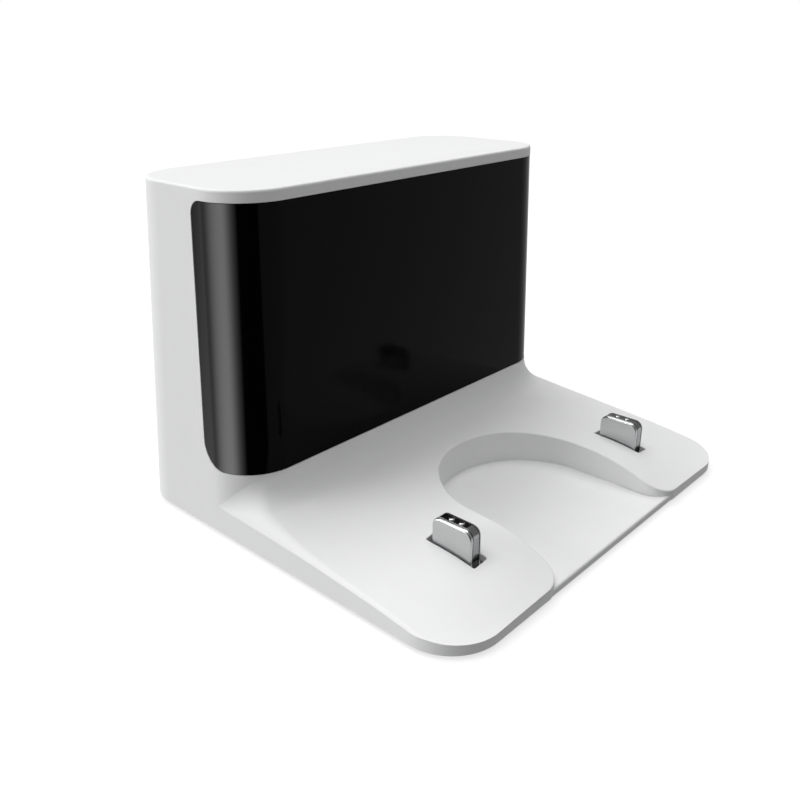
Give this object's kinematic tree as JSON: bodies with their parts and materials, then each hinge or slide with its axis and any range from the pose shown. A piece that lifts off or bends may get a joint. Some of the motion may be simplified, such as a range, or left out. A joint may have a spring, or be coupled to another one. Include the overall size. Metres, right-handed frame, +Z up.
{
  "type": "robot vacuum charging dock",
  "caption": "Free-standing charging dock: white moulded tower with a dark wrap-round window, crowned ramp with a wheel recess, and sprung contact posts that charge a robot vacuum.",
  "frame": {"origin": "centre of the footprint, on the floor under the feet", "axes": "+Z up, -Y the way the ramp points, +X to the right seen from the front"},
  "size_m": [0.142, 0.1301, 0.0978],
  "materials": {
    "white_shell": "satin moulded ABS",
    "dark_window": "polished smoked plastic",
    "cover_plastic": "satin moulded ABS",
    "post_plastic": "satin moulded plastic",
    "contact_metal": "polished plate",
    "spring_steel": "drawn wire",
    "terminal_brass": "stamped",
    "lead_cover": "soft sleeve",
    "board": "solder mask",
    "black_plastic": "moulded",
    "core": "ferrite with taped winding",
    "fuse_glass": "clear tube with metal caps",
    "lens": "tinted lens",
    "screw_steel": "zinc plated",
    "foot_rubber": "soft moulded"
  },
  "bodies": {
    "dock": {"housing": "white_shell", "base_plate": "white_shell", "ir_window": "dark_window", "rear_cover": "cover_plastic", "contact_spring_left": "spring_steel", "contact_spring_right": "spring_steel", "spring_terminal_left": "terminal_brass", "spring_terminal_right": "terminal_brass", "inlet_pins": "terminal_brass", "contact_lead_left": "lead_cover", "contact_lead_right": "lead_cover", "emitter_lead": "lead_cover", "power_board": "board", "emitter_board": "board", "inlet_socket": "black_plastic", "emitter_shield": "black_plastic", "bulk_capacitor": "black_plastic", "output_capacitor": "black_plastic", "transformer": "core", "line_choke": "core", "line_fuse": "fuse_glass", "emitter_leds": "lens", "base_screws": "screw_steel", "board_screws": "screw_steel", "cover_screws": "screw_steel", "emitter_screws": "screw_steel", "foot_front_left": "foot_rubber", "foot_back_left": "foot_rubber", "foot_front_right": "foot_rubber", "foot_back_right": "foot_rubber"},
    "contact_left": {"contact_post_left": "post_plastic", "contact_strip_left": "contact_metal"},
    "contact_right": {"contact_post_right": "post_plastic", "contact_strip_right": "contact_metal"}
  },
  "joints": [
    {"name": "contact_left_press", "type": "slide", "parent": "dock", "child": "contact_left", "axis": [0, 0, 1], "range_m": [-0.002, 0], "stiffness_N_per_m": 400, "springref_m": 0.001, "deforming": ["contact_spring_left"]},
    {"name": "contact_right_press", "type": "slide", "parent": "dock", "child": "contact_right", "axis": [0, 0, 1], "range_m": [-0.002, 0], "stiffness_N_per_m": 400, "springref_m": 0.001, "deforming": ["contact_spring_right"]}
  ]
}
